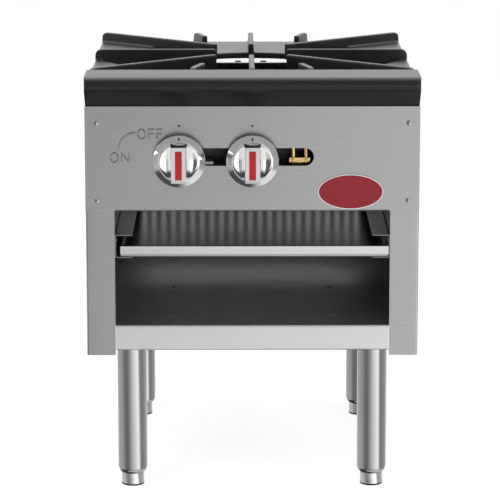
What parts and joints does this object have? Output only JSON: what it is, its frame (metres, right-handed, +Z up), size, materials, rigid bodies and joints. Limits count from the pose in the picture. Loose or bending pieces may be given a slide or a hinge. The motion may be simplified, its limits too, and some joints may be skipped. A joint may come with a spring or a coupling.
{
  "type": "stock pot range",
  "caption": "Floor-standing gas stock pot range: cast-iron grate over ring burners, two control knobs, sliding drip tray, open shelf and legs with adjustable feet.",
  "frame": {"origin": "centre of the bounding box in plan, on the floor", "axes": "+Z up, front faces -Y, +X to the right seen from the front"},
  "size_m": [0.4572, 0.578, 0.5933],
  "materials": {
    "stainless": "fine horizontal brushing",
    "tray_steel": "bright rolled, near mirror",
    "dark_sheet": "matt heat-darkened sheet",
    "cast_iron": "matt black cast skin",
    "black_enamel": "satin black",
    "chrome": "polished chrome",
    "brass": "machined brass",
    "black_pipe": "black lacquered pipe",
    "aluminium_tube": "drawn tube",
    "red_plastic": "gloss red",
    "badge_enamel": "gloss red oval with a pale edge line, bare",
    "foot_steel": "turned steel on a black pad"
  },
  "bodies": {
    "range_body": {"left_side_panel": "stainless", "right_side_panel": "stainless", "back_panel": "stainless", "control_panel": "stainless", "panel_screw_1": "stainless", "panel_screw_2": "stainless", "panel_screw_3": "stainless", "panel_screw_4": "stainless", "badge": "badge_enamel", "front_rail": "black_enamel", "left_box_liner": "stainless", "right_box_liner": "stainless", "left_tray_guide": "stainless", "right_tray_guide": "stainless", "left_guide_rivet": "stainless", "right_guide_rivet": "stainless", "front_baffle": "dark_sheet", "rear_cross_member": "stainless", "front_burner_rest": "dark_sheet", "rear_burner_rest": "dark_sheet", "outer_ring_burner": "cast_iron", "inner_ring_burner": "cast_iron", "outer_mixer_tube": "cast_iron", "inner_mixer_tube": "cast_iron", "left_gas_valve": "brass", "right_gas_valve": "brass", "manifold": "black_pipe", "supply_elbow": "black_pipe", "supply_pipe": "black_pipe", "gas_inlet": "brass", "manifold_clamp_1": "stainless", "manifold_clamp_2": "stainless", "pilot_valve": "brass", "outer_pilot_tube": "aluminium_tube", "outer_pilot_head": "stainless", "inner_pilot_tube": "aluminium_tube", "inner_pilot_head": "stainless", "bottom_shelf": "stainless", "left_leg_channel": "stainless", "right_leg_channel": "stainless", "front_left_leg": "stainless", "rear_left_leg": "stainless", "front_right_leg": "stainless", "rear_right_leg": "stainless"},
    "grate": {"grate": "cast_iron"},
    "drip_tray": {"drip_tray": "tray_steel"},
    "left_knob": {"left_knob": "chrome", "left_knob_insert": "red_plastic", "left_valve_stem": "chrome"},
    "left_air_shutter": {"left_air_shutter": "stainless"},
    "right_knob": {"right_knob": "chrome", "right_knob_insert": "red_plastic", "right_valve_stem": "chrome"},
    "right_air_shutter": {"right_air_shutter": "stainless"},
    "front_left_foot": {"front_left_foot": "foot_steel"},
    "rear_left_foot": {"rear_left_foot": "foot_steel"},
    "front_right_foot": {"front_right_foot": "foot_steel"},
    "rear_right_foot": {"rear_right_foot": "foot_steel"}
  },
  "joints": [
    {"name": "left_knob_turn", "type": "hinge", "parent": "range_body", "child": "left_knob", "pos_m": [-0.1, -0.239, 0.4762], "axis": [0, -1, 0], "range_deg": [0, 90]},
    {"name": "left_air_shutter_turn", "type": "hinge", "parent": "range_body", "child": "left_air_shutter", "pos_m": [-0.1, -0.1635, 0.4762], "axis": [0, -1, 0], "range_deg": [0, 60]},
    {"name": "right_knob_turn", "type": "hinge", "parent": "range_body", "child": "right_knob", "pos_m": [0, -0.239, 0.4762], "axis": [0, -1, 0], "range_deg": [0, 90]},
    {"name": "right_air_shutter_turn", "type": "hinge", "parent": "range_body", "child": "right_air_shutter", "pos_m": [0, -0.1635, 0.4762], "axis": [0, -1, 0], "range_deg": [0, 60]},
    {"name": "drip_tray_slide", "type": "slide", "parent": "range_body", "child": "drip_tray", "axis": [0, -1, 0], "range_m": [0, 0.4]},
    {"name": "grate_lift", "type": "slide", "parent": "range_body", "child": "grate", "axis": [0, 0, 1], "range_m": [0, 0.06]},
    {"name": "front_left_foot_screw", "type": "slide", "parent": "range_body", "child": "front_left_foot", "axis": [0, 0, -1], "range_m": [0, 0.025]},
    {"name": "rear_left_foot_screw", "type": "slide", "parent": "range_body", "child": "rear_left_foot", "axis": [0, 0, -1], "range_m": [0, 0.025]},
    {"name": "front_right_foot_screw", "type": "slide", "parent": "range_body", "child": "front_right_foot", "axis": [0, 0, -1], "range_m": [0, 0.025]},
    {"name": "rear_right_foot_screw", "type": "slide", "parent": "range_body", "child": "rear_right_foot", "axis": [0, 0, -1], "range_m": [0, 0.025]}
  ]
}
